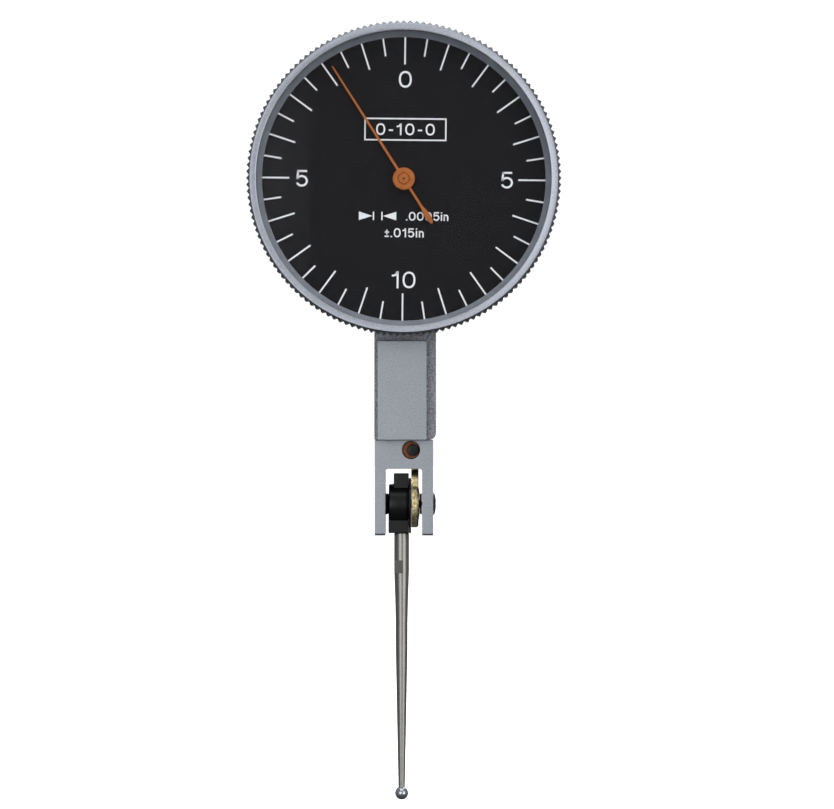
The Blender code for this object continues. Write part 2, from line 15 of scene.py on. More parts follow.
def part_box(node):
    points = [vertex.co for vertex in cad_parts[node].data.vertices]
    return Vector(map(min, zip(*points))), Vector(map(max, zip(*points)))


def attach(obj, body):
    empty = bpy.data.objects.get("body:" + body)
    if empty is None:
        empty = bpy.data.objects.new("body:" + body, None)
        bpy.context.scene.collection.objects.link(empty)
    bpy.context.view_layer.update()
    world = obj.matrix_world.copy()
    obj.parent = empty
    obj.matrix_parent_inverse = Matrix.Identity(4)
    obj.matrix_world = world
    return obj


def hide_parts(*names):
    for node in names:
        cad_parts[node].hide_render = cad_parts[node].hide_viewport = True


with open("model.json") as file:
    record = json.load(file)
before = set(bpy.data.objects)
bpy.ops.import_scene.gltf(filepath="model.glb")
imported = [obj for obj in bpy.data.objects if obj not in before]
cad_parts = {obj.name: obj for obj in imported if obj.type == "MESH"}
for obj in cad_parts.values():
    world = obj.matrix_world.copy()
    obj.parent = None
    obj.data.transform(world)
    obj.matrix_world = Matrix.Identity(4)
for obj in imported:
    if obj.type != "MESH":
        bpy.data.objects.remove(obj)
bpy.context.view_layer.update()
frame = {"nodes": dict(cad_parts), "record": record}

MM = 0.001
SMOOTH_ANGLE = math.radians(32)
AXES = {"X": Vector((1, 0, 0)), "Y": Vector((0, 1, 0)), "Z": Vector((0, 0, 1))}


def corners(node):
    """A CAD node's lowest and highest corners, in mm."""
    return [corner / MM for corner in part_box(node)]


# The driving places, read from the frame.
dial_low, dial_high = corners("dial_plate")
DIAL_Z = (dial_low.z + dial_high.z) / 2
DIAL_FACE = dial_low.y
DIAL_RADIUS = (dial_high.x - dial_low.x) / 2
axle_low, axle_high = corners("pivot_axle")
PIVOT_Y = (axle_low.y + axle_high.y) / 2
PIVOT_Z = (axle_low.z + axle_high.z) / 2
ball_low, ball_high = corners("stylus_ball")
STYLUS_X = (ball_low.x + ball_high.x) / 2
BALL_Z = (ball_low.z + ball_high.z) / 2
DIAL_AXIS = Vector((0, 0, DIAL_Z))
LEVER_AXIS = Vector((0, PIVOT_Y, PIVOT_Z))
STYLUS_AXIS = Vector((STYLUS_X, PIVOT_Y, PIVOT_Z))


# ------------------------------------------------------------------------- materials
# Paint, chrome and blasted metal have a grain of about 0.1 mm or less. It is drawn at this
# size, in mm, so that it shows; a finish with another size says why.
SHOWN_GRAIN = 0.2


def linear(hex_colour):
    """An sRGB hex colour as linear RGBA."""
    parts = [int(hex_colour[i : i + 2], 16) / 255 for i in (0, 2, 4)]
    return (*(c / 12.92 if c <= 0.04045 else ((c + 0.055) / 1.055) ** 2.4 for c in parts), 1)


def add(tree, kind, inputs=None, **settings):
    """Adds a node with its settings; an input is a value or a (node, output) link."""
    made = tree.nodes.new(kind)
    for name, value in settings.items():
        setattr(made, name, value)
    for name, value in (inputs or {}).items():
        if isinstance(value, tuple) and isinstance(value[0], bpy.types.Node):
            tree.links.new(value[0].outputs[value[1]], made.inputs[name])
        else:
            made.inputs[name].default_value = value
    return made


def finish_named(name, **constants):
    """A new material with its shader's constant sockets set."""
    material = bpy.data.materials.new(name)
    material.use_nodes = True
    tree = material.node_tree
    shader = tree.nodes["Principled BSDF"]
    for socket, value in constants.items():
        shader.inputs[socket.replace("_", " ")].default_value = value
    return material, tree, shader


def grain(tree, shader, colours, roughness, size, depth, stretch=(1, 1, 1), patch=None,
          cloud=0.25):
    """Fine surface grain: size in mm drives colour, roughness and bump alike.

    colours are the dark and the light hex of the grain, roughness its range, depth the bump
    in mm, stretch draws the grain out along an axis, patch is a wider cloudiness in mm and
    cloud its share. Returns the colour's node.
    """
    place = add(tree, "ShaderNodeTexCoord")
    scaled = add(tree, "ShaderNodeMapping", {"Vector": (place, "Object"), "Scale": stretch})
    fine = add(tree, "ShaderNodeTexNoise",
               {"Vector": (scaled, "Vector"), "Scale": 1 / (size * MM), "Detail": 3.0,
                "Roughness": 0.6})
    wide = add(tree, "ShaderNodeTexNoise",
               {"Vector": (place, "Object"), "Scale": 1 / ((patch or 12 * size) * MM),
                "Detail": 2.0})
    both = add(tree, "ShaderNodeMix", {"Factor": cloud, "A": (fine, "Fac"), "B": (wide, "Fac")})
    ramp = add(tree, "ShaderNodeValToRGB", {"Fac": (both, "Result")})
    ramp.color_ramp.elements[0].position = 0.3
    ramp.color_ramp.elements[0].color = linear(colours[0])
    ramp.color_ramp.elements[1].position = 0.7
    ramp.color_ramp.elements[1].color = linear(colours[1])
    spread = add(tree, "ShaderNodeMapRange",
                 {"Value": (both, "Result"), "From Min": 0.3, "From Max": 0.7,
                  "To Min": roughness[0], "To Max": roughness[1]})
    bump = add(tree, "ShaderNodeBump",
               {"Height": (fine, "Fac"), "Strength": 1.0, "Distance": depth * MM})
    tree.links.new(ramp.outputs["Color"], shader.inputs["Base Color"])
    tree.links.new(spread.outputs["Result"], shader.inputs["Roughness"])
    tree.links.new(bump.outputs["Normal"], shader.inputs["Normal"])
    return ramp


def satin_chromed_steel():
    """Satin chrome over ground steel: an even, cool grey with a fine sparkle."""
    material, tree, shader = finish_named("satin_chromed_steel", Metallic=1.0)
    grain(tree, shader, ("878b91", "a5a9af"), (0.38, 0.5), SHOWN_GRAIN, 0.005, cloud=0.12)
    return material


def rough_milled_steel_and_painted_shade():
    """Milled and blasted flanks: pitted and dull, and darker than the ground faces. The darker tone
    is partly the rougher finish and partly painted shade of the recesses beside the dovetails.

    The pits are drawn at 0.25 mm, coarser than they are, so that they show.
    """
    material, tree, shader = finish_named("rough_milled_steel_and_painted_shade", Metallic=1.0)
    grain(tree, shader, ("57595e", "b6b9bf"), (0.48, 0.66), 0.25, 0.06, cloud=0.15)
    return material


def satin_chromed_bezel():
    """The bezel's brighter satin chrome over a turned blank; its knurl is painted darker as shade.

    The painted shade is laid by the distance from the dial's axis, so it covers the teeth alone. The
    chrome's grain is drawn at 0.22 mm, coarser than it is, so that it shows.
    """
    material, tree, shader = finish_named("satin_chromed_bezel", Metallic=1.0)
    chrome_grain = grain(tree, shader, ("9497a0", "b5b9c1"), (0.34, 0.46), 0.22, 0.004, cloud=0.15)
    place = add(tree, "ShaderNodeTexCoord")
    centred = add(tree, "ShaderNodeMapping", {"Vector": (place, "Object"),
                                              "Location": -DIAL_AXIS * MM, "Scale": (1, 0, 1)})
    radius = add(tree, "ShaderNodeVectorMath", {0: (centred, "Vector")}, operation="LENGTH")
    # painted shade: beyond 19 mm from the dial's axis the teeth are painted a darker grey
    knurl_shade_mask = add(tree, "ShaderNodeMapRange", {"Value": (radius, "Value"), "From Min": 18.9 * MM,
                                            "From Max": 19.0 * MM})
    knurl_painted_shade = add(tree, "ShaderNodeMix", {"Factor": (knurl_shade_mask, "Result"), "A": (chrome_grain, "Color"),
                                        "B": linear("7b7d82")}, data_type="RGBA")
    tree.links.new(knurl_painted_shade.outputs["Result"], shader.inputs["Base Color"])
    return material


def blasted_bezel_cone():
    """The bezel's inner cone: blasted dull and bluish, so that the dial never mirrors in it."""
    material, tree, shader = finish_named("blasted_bezel_cone", Metallic=0.3, IOR=1.5)
    grain(tree, shader, ("80848d", "a0a5b0"), (0.65, 0.8), SHOWN_GRAIN, 0.004)
    return material


def matt_dial_paint():
    """Matt black paint sprayed on the dial: nearly black, without gloss, finely grained."""
    material, tree, shader = finish_named("matt_dial_paint", IOR=1.5, Specular_IOR_Level=0.12)
    grain(tree, shader, ("100f11", "1f1e21"), (0.65, 0.8), SHOWN_GRAIN, 0.002)
    return material


def white_dial_ink():
    """Pad-printed white ink: slightly grey and dull."""
    material, tree, shader = finish_named("white_dial_ink", IOR=1.5, Specular_IOR_Level=0.2)
    grain(tree, shader, ("e0e1e4", "fbfbfc"), (0.5, 0.65), SHOWN_GRAIN, 0.001)
    return material


def orange_hand_paint():
    """Matt orange paint on the hand: it lies in slightly darker and lighter patches."""
    material, tree, shader = finish_named("orange_hand_paint", IOR=1.5, Specular_IOR_Level=0.25)
    grain(tree, shader, ("9a5320", "ba6d32"), (0.45, 0.6), SHOWN_GRAIN, 0.003, patch=0.8, cloud=0.5)
    return material


def machined_brass():
    """Bare brass, coarsely machined: pale yellow with bright and dull specks.

    The specks are drawn at 0.3 mm, coarser than the real tool marks, so that they show.
    """
    material, tree, shader = finish_named("machined_brass", Metallic=1.0)
    grain(tree, shader, ("6f5a30", "fff0bd"), (0.28, 0.5), 0.3, 0.08, cloud=0.15)
    return material


def turned_bronze():
    """Turned bronze, tarnished to a brown red."""
    material, tree, shader = finish_named("turned_bronze", Metallic=1.0)
    grain(tree, shader, ("43281b", "8b583f"), (0.4, 0.6), SHOWN_GRAIN, 0.02)
    return material


def black_oxide_steel():
    """Chemically blackened steel: black with a soft oily sheen."""
    material, tree, shader = finish_named("black_oxide_steel", IOR=1.5, Specular_IOR_Level=0.28)
    grain(tree, shader, ("040304", "0a090b"), (0.3, 0.4), SHOWN_GRAIN, 0.003)
    return material


def blued_spring_steel():
    """Heat-blued spring steel: slate blue and polished."""
    material, tree, shader = finish_named("blued_spring_steel", Metallic=1.0)
    grain(tree, shader, ("2f3d55", "4a5d7c"), (0.2, 0.32), SHOWN_GRAIN, 0.002)
    return material


def ground_stylus_steel():
    """Centreless-ground steel: fine rings round the point that stretch its highlights.

    The rings are 0.1 mm apart, wider than real grinding marks, so that they show.
    """
    material, tree, shader = finish_named("ground_stylus_steel", Metallic=1.0)
    grain(tree, shader, ("82807a", "94928b"), (0.3, 0.35), 0.3, 0.0004, stretch=(0.3, 0.3, 3))
    return material


def polished_carbide():
    """A lapped carbide ball: a grey, slightly soft mirror with the faintest cloud."""
    material, tree, shader = finish_named("polished_carbide", Metallic=1.0)
    grain(tree, shader, ("9a9da1", "b4b6ba"), (0.16, 0.22), 0.3, 0.001)
    return material


def bright_turned_steel():
    """Turned arbors and rings of bare steel."""
    material, tree, shader = finish_named("bright_turned_steel", Metallic=1.0)
    grain(tree, shader, ("8a8b8c", "adaeaf"), (0.22, 0.36), SHOWN_GRAIN, 0.002)
    return material


def synthetic_ruby():
    """Polished synthetic ruby: deep red and glassy."""
    material, tree, shader = finish_named(
        "synthetic_ruby", IOR=1.77, Transmission_Weight=0.5, Coat_Weight=0.3)
    grain(tree, shader, ("7d1222", "9c1c30"), (0.06, 0.12), 0.3, 0.0005)
    return material


def clear_crystal():
    """A clear acrylic crystal: it only shows by a faint reflection."""
    material, tree, shader = finish_named(
        "clear_acrylic", IOR=1.49, Transmission_Weight=1.0, Alpha=0.06)
    grain(tree, shader, ("f4f7f8", "ffffff"), (0.0, 0.03), 3.0, 0.0)
    return material


FINISHES = {
    "satin_steel": satin_chromed_steel(),
    "rough_steel": rough_milled_steel_and_painted_shade(),
    "bezel_steel": satin_chromed_bezel(),
    "bezel_cone": blasted_bezel_cone(),
    "crystal": clear_crystal(),
    "dial_black": matt_dial_paint(),
    "dial_ink": white_dial_ink(),
    "pointer_orange": orange_hand_paint(),
    "brass": machined_brass(),
    "bronze": turned_bronze(),
    "blackened_steel": black_oxide_steel(),
    "blued_spring_steel": blued_spring_steel(),
    "contact_steel": ground_stylus_steel(),
    "contact_ball": polished_carbide(),
    "pivot_steel": bright_turned_steel(),
    "ruby": synthetic_ruby(),
}


# --------------------------------------------------------------------- shape helpers
def turned(name, profile, centre, axis="Y", steps=96, closed=False):
    """A turned solid: the profile's corners are (radius, place along the axis)."""
    along = AXES[axis]
    across = AXES["X"] if axis == "Z" else AXES["Z"]
    points = [(Vector(centre) + across * r + along * h) * MM for r, h in profile]
    if closed:
        points.append(points[0])
    bpy.ops.object.select_all(action="DESELECT")
    bpy.ops.mesh.primitive_plane_add(size=MM, location=points[0])
    bpy.ops.object.mode_set(mode="EDIT")
    bpy.ops.mesh.select_mode(type="VERT")
    bpy.ops.mesh.select_all(action="SELECT")
    bpy.ops.mesh.merge(type="CENTER")
    for here, there in zip(points, points[1:]):
        bpy.ops.mesh.extrude_region_move(TRANSFORM_OT_translate={"value": there - here})
    bpy.ops.mesh.select_all(action="SELECT")
    bpy.ops.mesh.spin(steps=steps, angle=2 * math.pi, center=Vector(centre) * MM, axis=along)
    bpy.ops.mesh.select_all(action="SELECT")
    bpy.ops.mesh.remove_doubles(threshold=1e-7)
    bpy.ops.mesh.normals_make_consistent(inside=False)
    bpy.ops.object.mode_set(mode="OBJECT")
    return settled(name)


def block(name, low, high):
    """A block between two corners."""
    low, high = Vector(low), Vector(high)
    bpy.ops.object.select_all(action="DESELECT")
    bpy.ops.mesh.primitive_cube_add(size=1, location=(low + high) / 2 * MM, scale=(high - low) * MM)
    return settled(name)


def settled(name):
    """Names the newest object and puts its place into its mesh."""
    obj = bpy.context.object
    obj.name = obj.data.name = name
    bpy.ops.object.transform_apply(location=True, rotation=True, scale=True)
    return obj


def alone(obj):
    """Makes an object the active one and the only one selected."""
    bpy.ops.object.select_all(action="DESELECT")
    bpy.context.view_layer.objects.active = obj
    obj.select_set(True)


def picked(obj, test, mode="EDGE"):
    """Enters edit mode with the edges, faces or vertices selected whose middle (mm) passes a test."""
    alone(obj)
    bpy.ops.object.mode_set(mode="EDIT")
    bpy.ops.mesh.select_mode(type=mode)
    bpy.ops.mesh.select_all(action="DESELECT")
    work = bmesh.from_edit_mesh(obj.data)
    for element in {"VERT": work.verts, "EDGE": work.edges, "FACE": work.faces}[mode]:
        points = [element.co] if mode == "VERT" else [v.co for v in element.verts]
        element.select_set(test(sum(points, Vector()) / len(points) / MM))
    bmesh.update_edit_mesh(obj.data)


def rounded(obj, test, radius, segments):
    """Rounds the edges whose middle (mm) passes a test."""
    picked(obj, test)
    bpy.ops.mesh.bevel(offset=radius * MM, segments=segments)
    bpy.ops.object.mode_set(mode="OBJECT")


def applied(obj, kind, **settings):
    """Adds a modifier with its settings and applies it."""
    alone(obj)
    modifier = obj.modifiers.new(kind.lower(), kind)
    for name, value in settings.items():
        setattr(modifier, name, value)
    bpy.ops.object.modifier_apply(modifier=modifier.name)
    return obj


def cut(obj, *tools):
    """Cuts the tools out of a piece and removes them."""
    for tool in tools:
        applied(obj, "BOOLEAN", operation="DIFFERENCE", object=tool, solver="EXACT")
        bpy.data.objects.remove(tool)


def fused(obj, *others):
    """Fuses other solids into a piece."""
    for other in others:
        applied(obj, "BOOLEAN", operation="UNION", object=other, solver="EXACT")
        bpy.data.objects.remove(other)


def eased(obj, width, segments=2, angle=30):
    """Breaks the sharp edges by a small bevel."""
    return applied(obj, "BEVEL", width=width * MM, segments=segments, limit_method="ANGLE",
                   angle_limit=math.radians(angle))


def fitted(obj, body, slot, *nodes, finish=None):
    """Shades a finished piece, gives it its finish and lets it ride in place of its nodes."""
    alone(obj)
    bpy.ops.object.shade_smooth_by_angle(angle=SMOOTH_ANGLE)
    applied(obj, "WEIGHTED_NORMAL", keep_sharp=True)
    obj.data.materials.clear()
    obj.data.materials.append(FINISHES[finish or slot])
    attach(obj, body)
    if nodes:
        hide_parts(*nodes)


def refinished(obj, finish, test):
    """Gives a second finish to the faces whose middle (mm) passes a test."""
    obj.data.materials.append(FINISHES[finish])
    picked(obj, test, "FACE")
    obj.active_material_index = len(obj.data.materials) - 1
    bpy.ops.object.material_slot_assign()
    bpy.ops.object.mode_set(mode="OBJECT")


def slot_cutter(centre, axis, face, depth, length, width, degrees):
    """A screwdriver slot across a head whose face stands at face along the axis."""
    along = AXES[axis]
    across = AXES["X"] if axis == "Z" else AXES["Z"]
    beside = along.cross(across)
    turn = Matrix.Rotation(math.radians(degrees), 3, along)
    size = across * length + beside * width + along * depth * 2
    bpy.ops.object.select_all(action="DESELECT")
    bpy.ops.mesh.primitive_cube_add(size=1, scale=[abs(v) * MM for v in size])
    tool = settled("slot_tool")
    tool.data.transform(turn.to_4x4())
    tool.data.transform(Matrix.Translation((Vector(centre) + along * face) * MM))
    return tool


def slotted_screw(name, profile, centre, axis, face, depth, length, degrees, width=0.3, steps=40):
    """A turned screw whose head carries a driver slot."""
    screw = eased(turned(name, profile, centre, axis, steps), 0.04)
    cut(screw, slot_cutter(centre, axis, face, depth, length, width, degrees))
    return screw


# ------------------------------------------------------------------------------ case
NECK_LEFT, NECK_RIGHT, NECK_END = -3.72, 4.02, -6.03
NECK_FRONT, NECK_BACK = 1.8, 8.8
RAIL_LEFT, RAIL_RIGHT = -3.30, 2.84     # a dovetail's face, on the neck
RAIL_ROOT_WIDTH = 4.80
FRONT_RAIL_TOP, BACK_RAIL_TOP = 6.36, 6.03
FORK_SCREW_AXIS = (0, PIVOT_Y, -3.2)
BUSH_AXIS = (0.877, 0, -7.31)
ECCENTRIC_AXIS = (1.137, 0, -7.31)


def case_body():
    """Drum, flange, neck and the three dovetails, as one solid with a hollow for the works."""
    back = corners("case_body")[1].y
    drum = turned(
        "case_body",
        [(0.5, -1.3), (6.5, -1.3), (6.5, -3.1), (15.92, -3.1), (16, -3.02), (16, -2.05),
         (15.6, -2.05), (15.6, -1.53), (16, -1.53), (16, -0.58), (15.92, -0.5), (14.5, -0.5),
         (14.5, back - 0.3), (14.2, back), (13.45, back), (13.45, 9.65), (11.6, 9.65),
         (11.6, 0.6), (0.5, 0.6)],
        DIAL_AXIS, steps=144, closed=True)
    neck = block("neck", (NECK_LEFT, NECK_FRONT, NECK_END), (NECK_RIGHT, NECK_BACK, 14))
    rounded(neck, lambda p: p.z < -6 and p.x < -3.7, 0.15, 3)
    rounded(neck, lambda p: p.z < -6 and p.x > 3.9, 0.9, 8)
    eased(neck, 0.06)
    fused(drum, neck, dovetail("dovetail_front", 0, NECK_FRONT, 2.2, FRONT_RAIL_TOP),
          dovetail("dovetail_back", back, NECK_BACK, 8.4, BACK_RAIL_TOP), end_rail())
    cut(drum, block("channel_low", (-2.75, 2.9, -7), (2.75, 7.7, 2.8)),
        block("channel_high", (-2.3, 2.9, 2.5), (2.3, 7.7, 16)),
        turned("bore_left", [(0, -3.9), (0.85, -3.9), (0.85, -3.27), (0, -3.27)],
               FORK_SCREW_AXIS, "X", 40),
        turned("bore_right", [(0, 4.1), (0.85, 4.1), (0.85, 3.5), (0, 3.5)],
               FORK_SCREW_AXIS, "X", 40))
    fitted(drum, "case", "satin_steel", "case_body")
    # the neck's own faces, beside and behind the dovetails, are left rough from the mill; their
    # darker tone is partly painted shade of the recesses beside the dovetails and under the bezel
    refinished(drum, "rough_steel", lambda p: 1.5 < p.y < 9.1 and -6.1 < p.z < 12.2)


def dovetail(name, face, root, inside, top):
    """A dovetail along the neck, wide at its face, narrow at its root and sunk in to inside."""
    rail = block(name, (RAIL_LEFT, min(face, root), NECK_END), (RAIL_RIGHT, max(face, root), top))
    picked(rail, lambda p: abs(p.y - root) < 0.01, "FACE")
    middle = Vector(((RAIL_LEFT + RAIL_RIGHT) / 2, root, 0)) * MM
    share = RAIL_ROOT_WIDTH / (RAIL_RIGHT - RAIL_LEFT)
    bpy.ops.transform.resize(value=(share, 1, 1), center_override=middle)
    bpy.ops.object.mode_set(mode="OBJECT")
    eased(rail, 0.08)
    picked(rail, lambda p: abs(p.y - root) < 0.01, "FACE")
    bpy.ops.mesh.extrude_region_move(
        TRANSFORM_OT_translate={"value": (0, (inside - root) * MM, 0)})
    bpy.ops.object.mode_set(mode="OBJECT")
    return rail


def end_rail():
    """The short dovetail on top of the drum."""
    half_face, half_root, root = 3.07, 2.4, 41.45
    rail = block("end_rail", (-half_face, 0.3, root), (half_face, 10.1, 43.25))
    picked(rail, lambda p: p.z < 41.5, "FACE")
    bpy.ops.transform.resize(value=(half_root / half_face, 1, 1),
                             center_override=Vector((0, 5, root)) * MM)
    bpy.ops.object.mode_set(mode="OBJECT")
    eased(rail, 0.08)
    picked(rail, lambda p: p.z < 41.5, "FACE")
    bpy.ops.mesh.extrude_region_move(TRANSFORM_OT_translate={"value": (0, 0, -1.25 * MM)})
    bpy.ops.object.mode_set(mode="OBJECT")
    return rail


def back_cover():
    """The disc that closes the drum, with three sunk screws."""
    cover = eased(turned("back_cover", [(0, 9.7), (13.4, 9.7), (13.4, 10.6), (0, 10.6)],
                         DIAL_AXIS, steps=144), 0.15)
    for i in range(3):
        node = f"cover_screw_{i + 1}"
        low, high = corners(node)
        centre = ((low.x + high.x) / 2, 0, (low.z + high.z) / 2)
        cut(cover, turned("sink", [(0, 9.5), (0.5, 9.5), (0.5, 10.12), (0.88, 10.12),
                                   (0.88, 10.5), (1.0, 10.7), (0, 10.7)], centre, steps=40))
        screw = slotted_screw(
            f"{node}_head", [(0, 8.0), (0.4, 8.0), (0.4, 10.16), (0.82, 10.16), (0.82, 10.56),
                             (0, 10.56)], centre, "Y", 10.56, 0.2, 2.0, 35 * i)
        fitted(screw, "case", "blackened_steel", node)
    fitted(cover, "case", "satin_steel", "back_cover")


def fork():
    """The forked foot that carries the lever's pivot, with the access hole in its front."""
    body = block("fork_body", (-3.68, 2.4, -18.05), (3.67, 8.2, -6.08))
    rounded(body, lambda p: p.z < -18 and abs(p.y - 5.3) > 2.8, 0.3, 4)
    slot = block("slot", (-2.34, 2, -19), (2.27, 9, -9.67))
    rounded(slot, lambda p: p.z > -9.7 and abs(p.x) > 2.2, 0.35, 5)
    hole = turned("hole", [(0, 2.2), (1.13, 2.2), (1.13, 3.9), (0, 3.9)], BUSH_AXIS, steps=56)
    bore = turned("bore", [(0, -4), (0.75, -4), (0.75, 4), (0, 4)], LEVER_AXIS, "X", 40)
    cut(body, slot, hole, bore)
    eased(body, 0.07, 2, 40)
    cut(body, block("lever_slot", (0.66, 4.2, -10), (2.06, 6.4, -6.0)))
    for side, left, right in (("left", -2.65, -1.98), ("right", 1.98, 2.65)):
        fused(body, eased(block(f"cheek_{side}", (left, 3.0, -6.2), (right, 7.6, 2.3)), 0.08))
    fitted(body, "case", "satin_steel", "fork")


def eccentric_bush():
    """The bronze bush in the access hole, and the screw that sits off its centre."""
    bush = turned("eccentric_bush_turned", [(0, 2.75), (1.03, 2.75), (1.09, 2.81), (1.09, 3.85),
                                            (0, 3.85)], BUSH_AXIS, steps=56)
    cut(bush, turned("bore", [(0, 2.6), (0.77, 2.6), (0.77, 3.6), (0, 3.6)], ECCENTRIC_AXIS,
                     steps=40))
    fitted(bush, "case", "bronze", "eccentric_bush")
    screw = slotted_screw("eccentric_screw_head", [(0, 2.9), (0.74, 2.9), (0.74, 3.55), (0, 3.55)],
                          ECCENTRIC_AXIS, "Y", 2.9, 0.2, 2.0, 25)
    fitted(screw, "case", "blackened_steel", "eccentric_screw")


def fork_screws():
    """The two screws that hold the fork's cheeks in the neck."""
    left = [(0, -3.7), (0.8, -3.7), (0.8, -3.3), (0.45, -3.3), (0.45, -2.05), (0, -2.05)]
    right = [(0, 3.93), (0.8, 3.93), (0.8, 3.53), (0.45, 3.53), (0.45, 2.05), (0, 2.05)]
    for side, profile, face, degrees in (("left", left, -3.7, 60), ("right", right, 3.93, 20)):
        screw = slotted_screw(f"fork_screw_{side}_head", profile, FORK_SCREW_AXIS, "X", face,
                              0.18, 2.2, degrees)
        fitted(screw, "case", "blackened_steel", f"fork_screw_{side}")


def pivot_screws():
    """The two screws whose tips carry the lever's axle; the right one has a domed head."""
    left = [(0, -3.66), (0.7, -3.66), (0.7, -2.4), (0.25, -2.4), (0.25, -1.62), (0, -1.62)]
    fitted(slotted_screw("pivot_screw_left_tip", left, LEVER_AXIS, "X", -3.66, 0.2, 2.0, 15),
           "case", "blackened_steel", "pivot_screw_left")
    dome = [(1.4 * math.sin(math.radians(a)), 3.72 + 0.3 * math.cos(math.radians(a)))
            for a in range(0, 91, 15)]
    right = [*dome, (1.4, 3.69), (0.7, 3.69), (0.7, 2.33), (0.25, 2.33), (0.25, 1.62), (0, 1.62)]
    fitted(slotted_screw("pivot_screw_right_head", right, LEVER_AXIS, "X", 4.02, 0.22, 3.2, 75,
                         width=0.36, steps=56),
           "case", "blackened_steel", "pivot_screw_right")


def thrust_washers():
    """The coned washers that keep the lever and its carrier off the fork's legs."""
    for side, inner, outer in (("left", -1.93, -2.31), ("right", 1.98, 2.24)):
        cone = [(1.38, outer), (1.25, inner), (0.6, inner), (0.6, outer)]
        washer = eased(turned(f"thrust_washer_{side}_turned", cone, LEVER_AXIS, "X", 56,
                              closed=True), 0.03)
        fitted(washer, "case", "blackened_steel", f"thrust_washer_{side}")


# ------------------------------------------------------------------- bezel and dial
BEZEL_TEETH = 148


def bezel_ring():
    """The knurled ring: each second column of the turned blank is pushed in to cut the teeth."""
    front, back = -7.3, -0.9
    crest, valley = 19.39, 19.04
    ring = turned(
        "bezel_knurled",
        [(18.17, front + 0.05), (18.3, front), (18.93, front), (19.0, front + 0.05),
         (crest, front + 0.42), (crest, back - 0.3), (19.0, back), (17.76, back),
         (17.7, back - 0.06), (17.7, -4.85), (17.5, -4.85), (18.17, -6.1)],
        DIAL_AXIS, steps=2 * BEZEL_TEETH, closed=True)
    pitch = 2 * math.pi / BEZEL_TEETH

    def in_valley(p):
        radius = math.hypot(p.x, p.z - DIAL_Z)
        turn = math.atan2(p.x, p.z - DIAL_Z) / pitch
        return radius > 19.1 and abs(turn - round(turn)) > 0.25

    picked(ring, in_valley, "VERT")
    share = valley / crest
    bpy.ops.transform.resize(value=(share, 1, share), center_override=DIAL_AXIS * MM)
    bpy.ops.object.mode_set(mode="OBJECT")
    picked(ring, lambda p: abs(math.hypot(p.x, p.z - DIAL_Z) - valley) < 0.02
           and -7 < p.y < -6, "VERT")
    bpy.ops.transform.translate(value=(0, -0.28 * MM, 0))
    bpy.ops.object.mode_set(mode="OBJECT")
    fitted(ring, "bezel", "bezel_steel", "bezel_ring")
    refinished(ring, "bezel_cone", lambda p: math.hypot(p.x, p.z - DIAL_Z) < 18.16 and p.y < -4.8)


def crystal():
    """The flat, clear disc over the dial."""
    disc = eased(turned("crystal_disc", [(0, -7.2), (18.1, -7.2), (18.1, -6.15), (0, -6.15)],
                        DIAL_AXIS, steps=144), 0.12)
    fitted(disc, "bezel", "crystal", "crystal")


def dial_plate():
    """The black dial, and the ring behind it that guides the bezel."""
    plate = eased(turned("dial_face", [(1.0, DIAL_FACE), (DIAL_RADIUS, DIAL_FACE),
                                       (DIAL_RADIUS, -4.3), (1.0, -4.3)],
                         DIAL_AXIS, steps=144, closed=True), 0.03)
    fitted(plate, "bezel", "dial_black", "dial_plate")
    guide = eased(turned("guide_ring_turned", [(17.64, -1.5), (17.64, -0.92), (16.15, -0.92),
                                               (16.15, -1.5)], DIAL_AXIS, steps=144, closed=True),
                  0.06)
    fitted(guide, "bezel", "pivot_steel", "bezel_guide_ring")


INK = 0.012                      # thickness of the printing
DIAL_TURN = math.radians(0.6)    # how far the bezel is set off the vertical
DIVISIONS = 40


def arc(cx, cy, rx, ry, start, end, count=20, square=2.0):
    """Points along an oval, angles in degrees; square above 2 fills its corners."""
    points = []
    for i in range(count + 1):
        a = math.radians(start + (end - start) * i / count)
        c, s = math.cos(a), math.sin(a)
        points.append((cx + rx * math.copysign(abs(c) ** (2 / square), c),
                       cy + ry * math.copysign(abs(s) ** (2 / square), s)))
    return points


# Figures of unit height: the width, then the centre lines of the strokes.
FIGURES = {
    "0": (0.78, [arc(0.39, 0.5, 0.32, 0.43, 0, 360, 40, 2.25)]),
    "1": (0.44, [[(0.36, 0.0), (0.36, 1.0)],
                 [(0.02, 0.745), (0.13, 0.75), (0.23, 0.785), (0.29, 0.85), (0.325, 0.97)]]),
    "5": (0.74, [[(0.12, 0.93), (0.68, 0.93)], [(0.165, 0.99), (0.10, 0.46)],
                 arc(0.37, 0.35, 0.30, 0.28, 155, -158, 28)]),
    "i": (0.15, [[(0.07, 0.0), (0.07, 0.72)], [(0.07, 0.86), (0.07, 1.0)]]),
    "n": (0.56, [[(0.07, 0.0), (0.07, 0.72)],
                 [(0.07, 0.40), *arc(0.28, 0.43, 0.20, 0.22, 150, 0, 12), (0.48, 0.0)]]),
    ".": (0.16, [[(0.08, 0.0), (0.08, 0.15)]]),
    "-": (0.36, [[(0.0, 0.42), (0.36, 0.42)]]),
    "±": (0.50, [[(0.0, 0.56), (0.50, 0.56)], [(0.25, 0.30), (0.25, 0.82)],
                 [(0.0, 0.10), (0.50, 0.10)]]),
}


def figures(text, centre, height, gap, narrow=1.0):
    """The strokes of a run of figures, centred on a point of the dial."""
    width = sum(FIGURES[f][0] for f in text) + gap * (len(text) - 1)
    strokes, start = [], -width / 2
    for figure in text:
        advance, paths = FIGURES[figure]
        for path in paths:
            strokes.append([(centre[0] + (start + u) * height * narrow,
                             centre[1] + (v - 0.5) * height) for u, v in path])
        start += advance + gap
    return strokes


